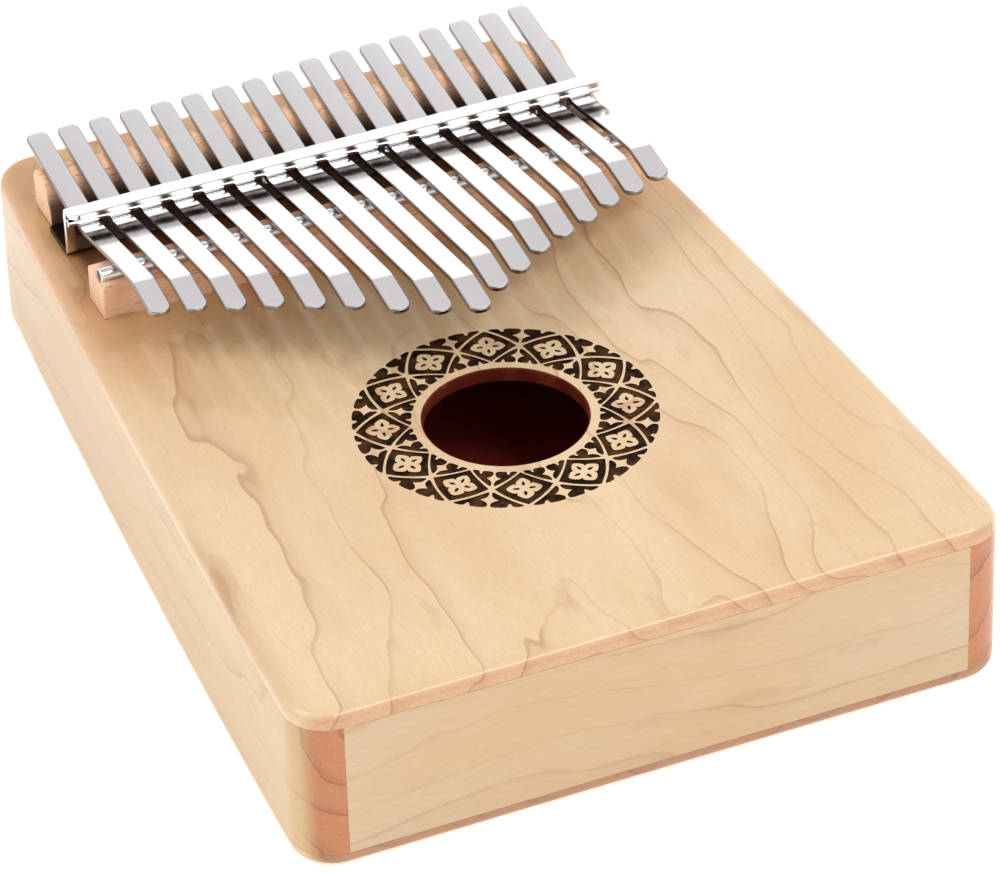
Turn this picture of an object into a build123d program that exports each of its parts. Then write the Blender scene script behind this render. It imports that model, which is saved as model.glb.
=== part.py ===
from build123d import *
import os
from math import atan, cos, sin, tan

# Seventeen-tine mbira (box kalimba). Millimetres, +Z up, +X to the player's right,
# -Y towards the sound-hole end, +Y towards the end that carries the bridges.
# Origin: centre of the sound box's plan, on the surface that it rests on.

# ---------------------------------------------------------------- sound box
BOX_LENGTH = 190.0          # front face to rear face
FRONT_WIDTH = 137.0         # widest, at the sound-hole end
REAR_MARGIN = 1.7           # the narrow end is this much wider than the rear bar, each side
SIDE_BOW = 1.2              # how far each long side bows out from a straight line
CORNER_RADIUS = 8.0         # upright corners
SOUNDBOARD_THICKNESS = 3.2
BACK_BOARD_THICKNESS = 3.0
WALL_HEIGHT = 27.5
SIDE_THICKNESS = 8.5
END_PANEL_THICKNESS = 6.0
TOP_EDGE_ROUND = 2.4
BOTTOM_EDGE_ROUND = 2.4
SOUND_HOLE_RADIUS = 15.2
SOUND_HOLE_FROM_FRONT = 68.2

# ------------------------------------------------------------------- tines
# Semitones above the centre tine, left to right: the scale runs outwards from the
# longest tine, one side and then the other.
TINE_NOTES = (26, 23, 19, 16, 12, 9, 5, 2, 0, 4, 7, 11, 14, 17, 21, 24, 28)
TINE_PITCH = 6.36
TINE_WIDTH = 4.4
TINE_THICKNESS = 1.0
ACTION_OFFSET = 1.0         # the tine set sits this far right of the centre line
LONGEST_TONGUE = 52.2       # bridge rod to tip, centre tine
HIDDEN_LENGTH = 8.0         # length behind the rod that also swings, used by the tuning rule
TIP_LENGTH = 10.0           # bent-down playing end
TIP_SLOPE = 0.14            # fall of the playing end, towards its tip
TONGUE_SLOPE = 0.165        # rise of the tongue, from the rod to the bend
TAIL_SLOPE = 0.20           # fall from the rod to the dip
TAIL_RISE = 0.12            # rise from the dip to the rear end
TIP_BEND_RADIUS = 6.0
DIP_BEND_RADIUS = 25.0
TINE_END_ROUND = 2.0
TAIL_OVERHANG = 11.3        # tail end behind the rear bar's crown
RIGHT_TAIL_EXTRA = 1.7      # the tines right of the centre are slid back by this much
TINE_CLEARANCE = 0.12       # between a tine and each rod or bar that it bears on
TINE_SPLIT = 0.03           # gap between tail and tongue, above the bridge rod

# ----------------------------------------------------- bridges and bracket
REAR_BAR_FROM_REAR = 18.0   # box's rear face to the bar's rear face
REAR_BAR_DEPTH = 9.0
REAR_BAR_OVERHANG = 1.42    # past the outer tines, each end
REAR_BAR_FRONT_ROUND = 7.0
REAR_BAR_BACK_ROUND = 1.2
REAR_BAR_LEAST_FLAT = 0.3   # left beside the front round, on the bar's front and top
BRIDGE_OVERHANG = 2.1       # half of its length is this much more than half of the tine row's
BRIDGE_DEPTH = 8.2
BRIDGE_HEIGHT = 7.7
BRIDGE_EDGE_ROUND = 0.8
ROD_RADIUS = 1.4
ROD_RISE = 0.7               # the rod's centre above the bridge's top, so it lies in a shallow groove
ROD_FROM_BRIDGE_FRONT = 2.5
ROD_RECESS = 0.3            # the rod ends this far inside each end of the bridge
BRIDGE_TO_REAR_BAR = 31.374 # rod centre line to the rear bar's front face
BRACKET_TO_REAR_BAR = 10.2  # bracket wall's rear face to the rear bar's front face
BRACKET_OVERHANG = 2.8      # past the outer tines, on average
BRACKET_SHIFT = 0.6         # the bracket sits this much further right than the tines
BRACKET_HEIGHT = 11.4
BRACKET_SHEET = 1.2
BRACKET_BASE = 9.2          # base flange, measured from the wall's rear face
BRACKET_LIP = 3.6           # top flange, measured from the wall's front face
BRACKET_BEND = 0.8          # inside radius of both bends
LIP_CORNER_ROUND = 2.2
SLOT_SIDE_CLEARANCE = 0.3   # between a tine and each side of its slot
SLOT_FLOOR = 4.6            # bottom of the slots above the soundboard
SLOT_HEADROOM = 2.3         # top of the arch above the tine
PRESSURE_ROD_RADIUS = 0.8
DIP_BEHIND_PRESSURE_ROD = 1.0
PRESSURE_ROD_OVERHANG = 2.2 # past the outer tines, each end

# -------------------------------------------------- inner block and screws
PIN_BLOCK_DEPTH = 14.0
PIN_BLOCK_OVERLAP = 3.0     # block in front of the bridge and behind the rear bar
SCREW_COUNT = 4
SCREW_SHANK_RADIUS = 1.5
SCREW_HEAD_RADIUS = 2.8
SCREW_HEAD_HEIGHT = 1.6
SCREW_LENGTH = 13.0
SCREW_HOLE_CLEARANCE = 0.2  # shank to flange hole
RECESS_WIDTH = 0.7
RECESS_DEPTH = 0.8

# ----------------------------------------------------------- worked-out places
FRONT_FACE = -BOX_LENGTH / 2
REAR_FACE = BOX_LENGTH / 2
WALL_BASE = BACK_BOARD_THICKNESS
BOARD_BASE = WALL_BASE + WALL_HEIGHT
BOARD_TOP = BOARD_BASE + SOUNDBOARD_THICKNESS
SOUND_HOLE_Y = FRONT_FACE + SOUND_HOLE_FROM_FRONT
TINE_COUNT = len(TINE_NOTES)
CENTRE_TINE = TINE_COUNT // 2
TINE_ROW = (TINE_COUNT - 1) * TINE_PITCH + TINE_WIDTH
REAR_BAR_LENGTH = TINE_ROW + 2 * REAR_BAR_OVERHANG
BRIDGE_LENGTH = TINE_ROW + 2 * BRIDGE_OVERHANG
BRACKET_LENGTH = TINE_ROW + 2 * BRACKET_OVERHANG
REAR_WIDTH = REAR_BAR_LENGTH + 2 * REAR_MARGIN
TAIL_ANGLE = atan(TAIL_SLOPE)
RISE_ANGLE = atan(TAIL_RISE)
TONGUE_ANGLE = atan(TONGUE_SLOPE)

REAR_BAR_BACK = REAR_FACE - REAR_BAR_FROM_REAR
REAR_BAR_FRONT = REAR_BAR_BACK - REAR_BAR_DEPTH
ROD_Y = REAR_BAR_FRONT - BRIDGE_TO_REAR_BAR
BRIDGE_TOP = BOARD_TOP + BRIDGE_HEIGHT
ROD_Z = BRIDGE_TOP + ROD_RISE
BRIDGE_FRONT = ROD_Y - ROD_FROM_BRIDGE_FRONT
WALL_REAR = REAR_BAR_FRONT - BRACKET_TO_REAR_BAR
WALL_FRONT = WALL_REAR - BRACKET_SHEET
PRESSURE_ROD_Y = WALL_FRONT - PRESSURE_ROD_RADIUS
DIP_BOTTOM_Y = PRESSURE_ROD_Y + DIP_BEHIND_PRESSURE_ROD
# the dip's corner, before it is rounded to an arc that is lowest at DIP_BOTTOM_Y
DIP_CUT = DIP_BEND_RADIUS * tan((TAIL_ANGLE + RISE_ANGLE) / 2)
DIP_Y = DIP_BOTTOM_Y + DIP_CUT * cos(TAIL_ANGLE) - DIP_BEND_RADIUS * sin(TAIL_ANGLE)

ROD_STANDOFF = ROD_RADIUS + TINE_CLEARANCE


def beside_rod(angle, distance):
    """Point (y, z) at a distance from the bridge rod's centre, square to a tine at this angle."""
    return ROD_Y + distance * sin(angle), ROD_Z + distance * cos(angle)


TAIL_START = beside_rod(TAIL_ANGLE, ROD_STANDOFF)
TONGUE_START = beside_rod(TONGUE_ANGLE, ROD_STANDOFF)
DIP_Z = TAIL_START[1] - TAIL_SLOPE * (DIP_Y - TAIL_START[0])
DIP_FLOOR = DIP_Z + DIP_CUT * sin(TAIL_ANGLE) - DIP_BEND_RADIUS * (1 - cos(TAIL_ANGLE))
DIP_TOP = DIP_FLOOR + TINE_THICKNESS
# the rear bar's front is rounded as far as its depth and the height below the tails allow
FRONT_FACE_ROOM = (DIP_Z + TAIL_RISE * (REAR_BAR_FRONT - DIP_Y) - TINE_CLEARANCE / cos(RISE_ANGLE)
                   - BOARD_TOP - REAR_BAR_LEAST_FLAT)
BAR_ROUND = min(REAR_BAR_FRONT_ROUND, REAR_BAR_DEPTH - REAR_BAR_BACK_ROUND - REAR_BAR_LEAST_FLAT,
                FRONT_FACE_ROOM / (cos(RISE_ANGLE) - TAIL_RISE * (1 - sin(RISE_ANGLE))))
# the crown is where a tail, rising at its slope, touches the bar's rounded front
CROWN_Y = REAR_BAR_FRONT + BAR_ROUND * (1 - sin(RISE_ANGLE))
CROWN_Z = DIP_Z + TAIL_RISE * (CROWN_Y - DIP_Y) - TINE_CLEARANCE / cos(RISE_ANGLE)
REAR_BAR_HEIGHT = CROWN_Z - BOARD_TOP + BAR_ROUND * (1 - cos(RISE_ANGLE))
# a tine's curved top is higher than the dip by this much under the pressure rod
ROD_BESIDE_DIP = (DIP_BOTTOM_Y - PRESSURE_ROD_Y) ** 2 / (2 * (DIP_BEND_RADIUS - TINE_THICKNESS))
PRESSURE_ROD_Z = DIP_TOP + ROD_BESIDE_DIP + TINE_CLEARANCE + PRESSURE_ROD_RADIUS
SCREW_Y = WALL_REAR + BRACKET_BASE / 2 + BRACKET_BEND / 2


def tine_x(number):
    return ACTION_OFFSET + (number - CENTRE_TINE) * TINE_PITCH


def tongue_length(number):
    """A tine sounds one octave higher each time its swinging length falls by the root of two."""
    swinging = (LONGEST_TONGUE + HIDDEN_LENGTH) * 2 ** (-TINE_NOTES[number] / 24)
    return swinging - HIDDEN_LENGTH


# ------------------------------------------------------------------ helpers
def plan(inset=0.0):
    """The box's tapered outline with bowed long sides, each side moved in by an inset."""
    front, rear = FRONT_WIDTH / 2 - inset, REAR_WIDTH / 2 - inset
    middle = (front + rear) / 2 + SIDE_BOW
    outline = Line((-front, FRONT_FACE), (front, FRONT_FACE))
    outline += ThreePointArc((front, FRONT_FACE), (middle, 0), (rear, REAR_FACE))
    outline += Line((rear, REAR_FACE), (-rear, REAR_FACE))
    outline += ThreePointArc((-rear, REAR_FACE), (-middle, 0), (-front, FRONT_FACE))
    return make_face(outline)


def box_layer(base, height):
    """A full layer of the box, with its upright corners rounded."""
    layer = Pos(0, 0, base) * extrude(plan(), height)
    return fillet(layer.edges().filter_by(Axis.Z), CORNER_RADIUS)


def inner_layer(base, height, front, rear):
    """What fits between the two sides, from one place along the box to another."""
    layer = Pos(0, 0, base) * extrude(plan(SIDE_THICKNESS), height)
    slab = Pos(0, (front + rear) / 2, base + height / 2) * Box(2 * FRONT_WIDTH, rear - front, height)
    return layer & slab


def bar_along_x(section, length, centre=0.0):
    """A bar with a (y, z) section, running along X."""
    return Pos(centre, 0, 0) * extrude(Plane.YZ * section, length / 2, both=True)


def rod_along_x(radius, length, y, z, centre=0.0):
    return Pos(centre, y, z) * Rot(0, 90, 0) * Cylinder(radius, length)


def strip(path, thickness, side, width, centre=0.0):
    """Sheet or strip metal that follows a (y, z) path, with its thickness on one side of it."""
    return bar_along_x(make_face(offset(path, thickness, side=side, closed=True)), width, centre)


def screw_places():
    spacing = BRACKET_LENGTH / SCREW_COUNT
    return [((number - (SCREW_COUNT - 1) / 2) * spacing + ACTION_OFFSET) for number in range(SCREW_COUNT)]


def screw_shafts(radius, base, top):
    """Plain round shafts at the screws, for the screws and for the holes that take them."""
    shaft = Cylinder(radius, top - base, align=(Align.CENTER, Align.CENTER, Align.MIN))
    return [Pos(x, SCREW_Y, base) * shaft for x in screw_places()]


# ---------------------------------------------------------------- sound box
SCREW_TOP = BOARD_TOP + BRACKET_SHEET
SCREW_TIP = SCREW_TOP - SCREW_LENGTH


def soundboard():
    board = box_layer(BOARD_BASE, SOUNDBOARD_THICKNESS)
    board = fillet(board.faces().sort_by(Axis.Z)[-1].edges(), TOP_EDGE_ROUND)
    board -= Pos(0, SOUND_HOLE_Y, BOARD_BASE) * Cylinder(SOUND_HOLE_RADIUS, 4 * SOUNDBOARD_THICKNESS)
    return board - screw_shafts(SCREW_SHANK_RADIUS, SCREW_TIP, BOARD_TOP + 1)


def back_board():
    board = box_layer(0, BACK_BOARD_THICKNESS)
    return fillet(board.faces().sort_by(Axis.Z)[0].edges(), BOTTOM_EDGE_ROUND)


def sides():
    """Left and right sides: the wall layer with everything between them taken out."""
    ring = box_layer(WALL_BASE, WALL_HEIGHT) - inner_layer(WALL_BASE, WALL_HEIGHT, FRONT_FACE, REAR_FACE)
    return ring.solids().sort_by(Axis.X)


def front_panel():
    return inner_layer(WALL_BASE, WALL_HEIGHT, FRONT_FACE, FRONT_FACE + END_PANEL_THICKNESS)


def rear_panel():
    return inner_layer(WALL_BASE, WALL_HEIGHT, REAR_FACE - END_PANEL_THICKNESS, REAR_FACE)


def pin_block():
    """Cross block under the soundboard, which takes the bracket's screws."""
    front, rear = BRIDGE_FRONT - PIN_BLOCK_OVERLAP, REAR_BAR_BACK + PIN_BLOCK_OVERLAP
    block = inner_layer(BOARD_BASE - PIN_BLOCK_DEPTH, PIN_BLOCK_DEPTH, front, rear)
    return block - screw_shafts(SCREW_SHANK_RADIUS, SCREW_TIP, BOARD_TOP)


# ------------------------------------------------------- bridges and bracket
def rear_bar():
    top = BOARD_TOP + REAR_BAR_HEIGHT
    section = make_face(Polyline((REAR_BAR_FRONT, BOARD_TOP), (REAR_BAR_BACK, BOARD_TOP),
                                 (REAR_BAR_BACK, top), (REAR_BAR_FRONT, top), close=True))
    upper = section.vertices().group_by(Axis.Y)[-1].sort_by(Axis.X)
    section = fillet(upper[0], BAR_ROUND)
    back = section.vertices().sort_by(Axis.X)[-2:].sort_by(Axis.Y)[-1]
    return bar_along_x(fillet(back, REAR_BAR_BACK_ROUND), REAR_BAR_LENGTH, ACTION_OFFSET)


def front_bridge():
    rear = BRIDGE_FRONT + BRIDGE_DEPTH
    section = make_face(Polyline((BRIDGE_FRONT, BOARD_TOP), (rear, BOARD_TOP),
                                 (rear, BRIDGE_TOP), (BRIDGE_FRONT, BRIDGE_TOP), close=True))
    section = fillet(section.vertices().group_by(Axis.Y)[-1], BRIDGE_EDGE_ROUND)
    return bar_along_x(section, BRIDGE_LENGTH) - rod_along_x(ROD_RADIUS, 2 * BRIDGE_LENGTH, ROD_Y, ROD_Z)


def bridge_rod():
    return rod_along_x(ROD_RADIUS, BRIDGE_LENGTH - 2 * ROD_RECESS, ROD_Y, ROD_Z)


def tine_bracket():
    """Folded sheet: base flange under the tails, slotted upright wall, lip over the tines."""
    lip_z = BOARD_TOP + BRACKET_HEIGHT - BRACKET_SHEET
    path = FilletPolyline((WALL_REAR + BRACKET_BASE, BOARD_TOP), (WALL_FRONT, BOARD_TOP), (WALL_FRONT, lip_z),
                          (WALL_FRONT - BRACKET_LIP, lip_z), radius=[BRACKET_BEND + BRACKET_SHEET, BRACKET_BEND])
    bracket = strip(path, BRACKET_SHEET, Side.RIGHT, BRACKET_LENGTH, ACTION_OFFSET + BRACKET_SHIFT)
    lip_end = bracket.faces().sort_by(Axis.Y)[0]
    bracket = fillet(lip_end.edges().filter_by(Axis.Z), LIP_CORNER_ROUND)
    width = TINE_WIDTH + 2 * SLOT_SIDE_CLEARANCE
    floor = BOARD_TOP + SLOT_FLOOR
    spring = DIP_TOP + SLOT_HEADROOM - width / 2
    for number in range(TINE_COUNT):
        place = Pos(tine_x(number), (WALL_FRONT + WALL_REAR) / 2, 0)
        bracket -= place * Pos(0, 0, (floor + spring) / 2) * Box(width, 2 * BRACKET_SHEET, spring - floor)
        bracket -= place * Pos(0, 0, spring) * Rot(90, 0, 0) * Cylinder(width / 2, 2 * BRACKET_SHEET)
    holes = SCREW_SHANK_RADIUS + SCREW_HOLE_CLEARANCE
    return bracket - screw_shafts(holes, BOARD_TOP - 1, SCREW_TOP + 1)


def pressure_rod():
    length = TINE_ROW + 2 * PRESSURE_ROD_OVERHANG
    return rod_along_x(PRESSURE_ROD_RADIUS, length, PRESSURE_ROD_Y, PRESSURE_ROD_Z, ACTION_OFFSET)


def bracket_screws():
    """Domed wood screws with a cross recess, one solid each."""
    screws = []
    shafts = screw_shafts(SCREW_SHANK_RADIUS, SCREW_TIP, SCREW_TOP)
    for x, shaft in zip(screw_places(), shafts):
        head = Cylinder(SCREW_HEAD_RADIUS, SCREW_HEAD_HEIGHT, align=(Align.CENTER, Align.CENTER, Align.MIN))
        head = fillet(head.edges().sort_by(Axis.Z)[-1], SCREW_HEAD_HEIGHT * 0.6)
        bar = Pos(0, 0, SCREW_HEAD_HEIGHT) * Box(2.4 * RECESS_WIDTH + 1, RECESS_WIDTH, 2 * RECESS_DEPTH)
        head -= bar + Rot(0, 0, 90) * bar
        point = Pos(x, SCREW_Y, SCREW_TIP) * Cone(0.3, SCREW_SHANK_RADIUS, 2.4,
                                                  align=(Align.CENTER, Align.CENTER, Align.MIN))
        body = shaft - Pos(x, SCREW_Y, SCREW_TIP + 1.2) * Box(8, 8, 2.4) + point
        screws.append(body + Pos(x, SCREW_Y, SCREW_TOP) * head)
    return Compound(children=[screw.solid() for screw in screws])


# -------------------------------------------------------------------- tines
def trim_end(tine, number, end_y, inward):
    """Round the free end of a tine in plan; inward is +1 or -1, the way back along the tine."""
    reach = BOX_LENGTH
    blank = RectangleRounded(TINE_WIDTH, reach, TINE_END_ROUND)
    return tine & Pos(tine_x(number), end_y + inward * reach / 2, 0) * extrude(blank, 2 * BOX_LENGTH)


def tine_tail(number):
    """Rear part of a tine: from the bridge rod, under the pressure rod, over the rear bar."""
    end_y = CROWN_Y + TAIL_OVERHANG + (RIGHT_TAIL_EXTRA if number > CENTRE_TINE else 0)
    end_z = DIP_Z + TAIL_RISE * (end_y - DIP_Y)
    path = FilletPolyline(TAIL_START, (DIP_Y, DIP_Z), (end_y, end_z), radius=DIP_BEND_RADIUS)
    tail = strip(path, TINE_THICKNESS, Side.LEFT, TINE_WIDTH, tine_x(number))
    return trim_end(tail, number, end_y, -1)


def tine_tongue(number):
    """Playing part of a tine: from the bridge rod up to the bend, then the bent-down tip."""
    start_y, start_z = TONGUE_START
    start_y -= TINE_SPLIT
    tip_y = ROD_Y - tongue_length(number)
    bend_y = tip_y + TIP_LENGTH
    bend_z = start_z + TONGUE_SLOPE * (start_y - bend_y)
    tip_z = bend_z - TIP_SLOPE * TIP_LENGTH
    path = FilletPolyline((start_y, start_z), (bend_y, bend_z), (tip_y, tip_z), radius=TIP_BEND_RADIUS)
    tongue = strip(path, TINE_THICKNESS, Side.RIGHT, TINE_WIDTH, tine_x(number))
    return trim_end(tongue, number, tip_y, 1)


# ------------------------------------------------------------------- output
def all_parts():
    left, right = sides()
    parts = {
        "soundboard": soundboard(),
        "back_board": back_board(),
        "side_left": left,
        "side_right": right,
        "front_panel": front_panel(),
        "rear_panel": rear_panel(),
        "pin_block": pin_block(),
        "rear_bar": rear_bar(),
        "front_bridge": front_bridge(),
        "bridge_rod": bridge_rod(),
        "tine_bracket": tine_bracket(),
        "pressure_rod": pressure_rod(),
        "bracket_screws": bracket_screws(),
    }
    for number in range(TINE_COUNT):
        parts[f"tine_{number + 1:02d}_tail"] = tine_tail(number)
        parts[f"tine_{number + 1:02d}_tongue"] = tine_tongue(number)
    return parts


os.makedirs("parts", exist_ok=True)
for name, shape in all_parts().items():
    shape.label = name
    export_step(shape, f"parts/{name}.step")

pivot = [round(value, 3) for value in beside_rod((TAIL_ANGLE + TONGUE_ANGLE) / 2, ROD_STANDOFF + TINE_THICKNESS / 2)]
print("tongue pivot (y, z):", pivot)
print("board top, pressure rod, rear bar height:", BOARD_TOP, round(PRESSURE_ROD_Z, 2), round(REAR_BAR_HEIGHT, 2))
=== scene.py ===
import math

import bmesh
import bpy
from mathutils import Matrix, Vector
from mathutils.geometry import delaunay_2d_cdt


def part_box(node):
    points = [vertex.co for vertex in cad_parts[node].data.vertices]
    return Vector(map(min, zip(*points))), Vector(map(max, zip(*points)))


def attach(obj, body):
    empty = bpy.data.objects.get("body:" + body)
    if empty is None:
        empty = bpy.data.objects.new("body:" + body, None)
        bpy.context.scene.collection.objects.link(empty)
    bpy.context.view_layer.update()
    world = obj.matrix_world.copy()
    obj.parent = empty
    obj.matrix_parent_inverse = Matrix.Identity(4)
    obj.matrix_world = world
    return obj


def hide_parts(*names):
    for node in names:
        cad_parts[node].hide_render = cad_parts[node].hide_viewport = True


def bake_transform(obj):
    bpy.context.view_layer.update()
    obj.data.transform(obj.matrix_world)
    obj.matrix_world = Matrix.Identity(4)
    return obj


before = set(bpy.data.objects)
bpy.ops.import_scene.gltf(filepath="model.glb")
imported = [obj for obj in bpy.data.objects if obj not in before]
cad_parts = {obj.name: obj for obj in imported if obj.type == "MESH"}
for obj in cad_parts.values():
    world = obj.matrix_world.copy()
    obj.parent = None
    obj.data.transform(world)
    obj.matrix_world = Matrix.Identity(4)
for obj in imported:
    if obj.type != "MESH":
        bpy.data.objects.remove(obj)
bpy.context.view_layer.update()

# Looks of a seventeen-tine box mbira. Lengths are millimetres until a mesh is made, in the
# row's frame: +X to the player's right, -Y towards the sound hole's end, +Z up.
MM = 0.001


def box_of(node):
    """Lowest and highest corner of a CAD node, in millimetres."""
    low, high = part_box(node)
    return low / MM, high / MM


# ------------------------------------------------------------------ sizes
BOARD_LOW, BOARD_HIGH = box_of("soundboard")
HALF_LENGTH = BOARD_HIGH.y
HALF_FRONT, HALF_REAR = 68.5, 56.2      # half widths of the ends, before the corners are rounded
SIDE_BOW = 1.2
CORNER_RADIUS = 8.0
EDGE_ROUND = 2.4
SIDE_THICKNESS = 8.5
SEAM_EDGE = 0.14                        # sanded edge where two boards meet
HOLE_UPPER_EDGE, HOLE_LOWER_EDGE = 0.35, 0.7
HOLE_RADIUS = 15.2
HOLE_CENTRE = Vector((0.0, -26.8))
ENGRAVING_DEPTH = 0.22

TINE_NUMBERS = range(1, 18)
TINE_THICKNESS = 1.0
TINE_EDGE = 0.20
TIP_LENGTH, TIP_FALL, TONGUE_RISE = 10.0, 0.14, 0.165
TAIL_FALL, TAIL_RISE = 0.20, 0.12
DIP_RADIUS, ROD_BEND_RADIUS, TIP_RADIUS = 25.0, 30.0, 6.0
DIP_BEHIND_PRESSURE_ROD = 1.0           # where the dip is lowest
TINE_CLEARANCE = 0.12
TINE_END_ROUND = 2.0
TINE_END_CLEAR = 1.02 * TINE_END_ROUND  # no mesh row crosses a tine nearer to its end than this
TINE_ROW_STEP, SHEET_ROW_STEP = 3.0, 30.0   # longest straight run between two mesh rows
BEND_STEPS = 7

ROD_LOW, ROD_HIGH = box_of("bridge_rod")
ROD_CENTRE = (ROD_LOW + ROD_HIGH) / 2
ROD_STANDOFF = (ROD_HIGH.z - ROD_LOW.z) / 2 + TINE_CLEARANCE
PRESSURE_LOW, PRESSURE_HIGH = box_of("pressure_rod")
FALL_ANGLE, RISE_ANGLE = math.atan(TAIL_FALL), math.atan(TAIL_RISE)
# (y, z) where a tine's lower face leaves the bridge rod, and the corner of the dip
BEARING = Vector((ROD_CENTRE.y + ROD_STANDOFF * math.sin(FALL_ANGLE),
                  ROD_CENTRE.z + ROD_STANDOFF * math.cos(FALL_ANGLE)))
DIP_CUT = DIP_RADIUS * math.tan((FALL_ANGLE + RISE_ANGLE) / 2)
DIP_Y = ((PRESSURE_LOW.y + PRESSURE_HIGH.y) / 2 + DIP_BEHIND_PRESSURE_ROD
         + DIP_CUT * math.cos(FALL_ANGLE) - DIP_RADIUS * math.sin(FALL_ANGLE))
DIP_Z = BEARING.y - TAIL_FALL * (DIP_Y - BEARING.x)
DIP_TOP = (DIP_Z + DIP_CUT * math.sin(FALL_ANGLE) - DIP_RADIUS * (1 - math.cos(FALL_ANGLE))
           + TINE_THICKNESS)

SHEET = 1.2                             # the bracket's metal
SHEET_EDGE = 0.16
BEND_INSIDE = 0.8
LIP_DEPTH, LIP_CORNER = 3.6, 2.2
BASE_CORNER = 0.6
SLOT_CLEARANCE = 0.3
SLOT_FLOOR, SLOT_HEADROOM = 4.6, 2.3    # above the soundboard, and above a tine
SLOT_BELOW_BEND = 0.05
BRACKET_LOW, BRACKET_HIGH = box_of("tine_bracket")
WALL_FRONT = BRACKET_LOW.y + LIP_DEPTH
LIP_UNDER = BRACKET_HIGH.z - SHEET
BRIDGE_LOW, BRIDGE_HIGH = box_of("front_bridge")
BRIDGE_ROUND, BRIDGE_END_EDGE = 0.8, 0.3
BAR_LOW, BAR_HIGH = box_of("rear_bar")
BAR_FRONT_ROUND, BAR_BACK_ROUND, BAR_END_EDGE = 7.0, 1.2, 0.5
ROW_MIDDLE = (BAR_LOW.x + BAR_HIGH.x) / 2
HALF_BAR = (BAR_HIGH.x - BAR_LOW.x) / 2


# ---------------------------------------------------------- shader building
class Value:
    """One output of a shader node. Arithmetic on it adds Math nodes to its network."""

    def __init__(self, network, socket):
        self.network, self.socket = network, socket

    def __add__(self, other):
        return self.network.sum("ADD", self, other)

    def __sub__(self, other):
        return self.network.sum("SUBTRACT", self, other)

    def __mul__(self, other):
        return self.network.sum("MULTIPLY", self, other)

    def __rsub__(self, other):
        return self.network.sum("SUBTRACT", other, self)

    def __abs__(self):
        return self.network.sum("ABSOLUTE", self)

    __radd__ = __add__
    __rmul__ = __mul__


class Network:
    """A node tree around one shader; fixed holds the shader's sockets that never vary."""

    def __init__(self, tree, shader_type, fixed):
        self.tree = tree
        self.shader = next(node for node in tree.nodes if node.type == shader_type)
        for socket, value in fixed.items():
            self.shader.inputs[socket].default_value = value

    def node(self, kind, settings, inputs, output=0):
        """Adds a node: its settings first, then the value or link of each socket."""
        made = self.tree.nodes.new(kind)
        for name, value in settings.items():
            if name == "stops":
                self.set_stops(made.color_ramp, value)
            else:
                setattr(made, name, value)
        for name, value in inputs.items():
            if isinstance(value, Value):
                self.tree.links.new(value.socket, made.inputs[name])
            else:
                made.inputs[name].default_value = value
        return Value(self, made.outputs[output])

    @staticmethod
    def set_stops(ramp, stops):
        """Gives a colour ramp its stops, as (position, colour) from low to high."""
        while len(ramp.elements) < len(stops):
            ramp.elements.new(0.5)
        for element, (position, colour) in zip(ramp.elements, stops):
            element.position = position
            element.color = (*colour, 1.0)

    def sum(self, operation, *terms):
        return self.node("ShaderNodeMath", {"operation": operation}, dict(enumerate(terms)))

    def vector(self, operation, *terms):
        return self.node("ShaderNodeVectorMath", {"operation": operation}, dict(enumerate(terms)))

    def axis(self, vector, letter):
        return self.node("ShaderNodeSeparateXYZ", {}, {0: vector}, letter)

    def step(self, value, low, high):
        """A smooth step: 0 where a value is at low, 1 where it is at high."""
        return self.node("ShaderNodeMapRange", {"interpolation_type": "SMOOTHSTEP"},
                         {"Value": value, "From Min": low, "From Max": high})

    def band(self, value, rise, fall):
        """1 where a value has passed its rise and not its fall; each is (start, end)."""
        return self.step(value, *rise) * (1 - self.step(value, *fall))

    def mix(self, amount, first, second, blend="MIX"):
        """A colour between two colours."""
        first, second = [c if isinstance(c, Value) else (*c, 1.0) for c in (first, second)]
        return self.node("ShaderNodeMix", {"data_type": "RGBA", "blend_type": blend},
                         {0: amount, 6: first, 7: second}, 2)

    def feed(self, socket, value):
        self.tree.links.new(value.socket, self.shader.inputs[socket])


SEED_SHARES = (1.0, 1.7, 2.3)           # how far a noise's seed moves it along X, Y and Z


class Finish(Network):
    """A material. Its place is the position on the piece, and is the same as in the row's frame."""

    def __init__(self, name, fixed):
        self.material = bpy.data.materials.new(name)
        self.material.use_nodes = True
        super().__init__(self.material.node_tree, "BSDF_PRINCIPLED", fixed)
        self.place = self.node("ShaderNodeTexCoord", {}, {}, "Object")

    def reach(self, letter):
        """The position along one axis, in millimetres."""
        return self.axis(self.place, letter) * (1 / MM)

    def noise(self, lump, seed, detail=2.0, roughness=0.5):
        """Noise from 0 to 1 whose lumps measure about lump = (x, y, z) millimetres."""
        scaled = self.vector("MULTIPLY_ADD", self.place, [1 / (MM * size) for size in lump],
                             [seed * share for share in SEED_SHARES])
        return self.node("ShaderNodeTexNoise", {},
                         {"Vector": scaled, "Scale": 1.0, "Detail": detail, "Roughness": roughness})

    def normal(self, letter):
        """The surface normal's share along one axis, from -1 to 1."""
        return self.axis(self.node("ShaderNodeNewGeometry", {}, {}, "Normal"), letter)

    def bump(self, height, depth, strength):
        """Relief from a height of 0 to 1, over a depth in millimetres."""
        normal = self.node("ShaderNodeBump", {},
                           {"Height": height, "Distance": depth * MM, "Strength": strength})
        self.feed("Normal", normal)


# ---------------------------------------------------------------- finishes
LACQUER = {"Coat Weight": 0.5, "Coat Roughness": 0.09, "Specular IOR Level": 0.4}
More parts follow.
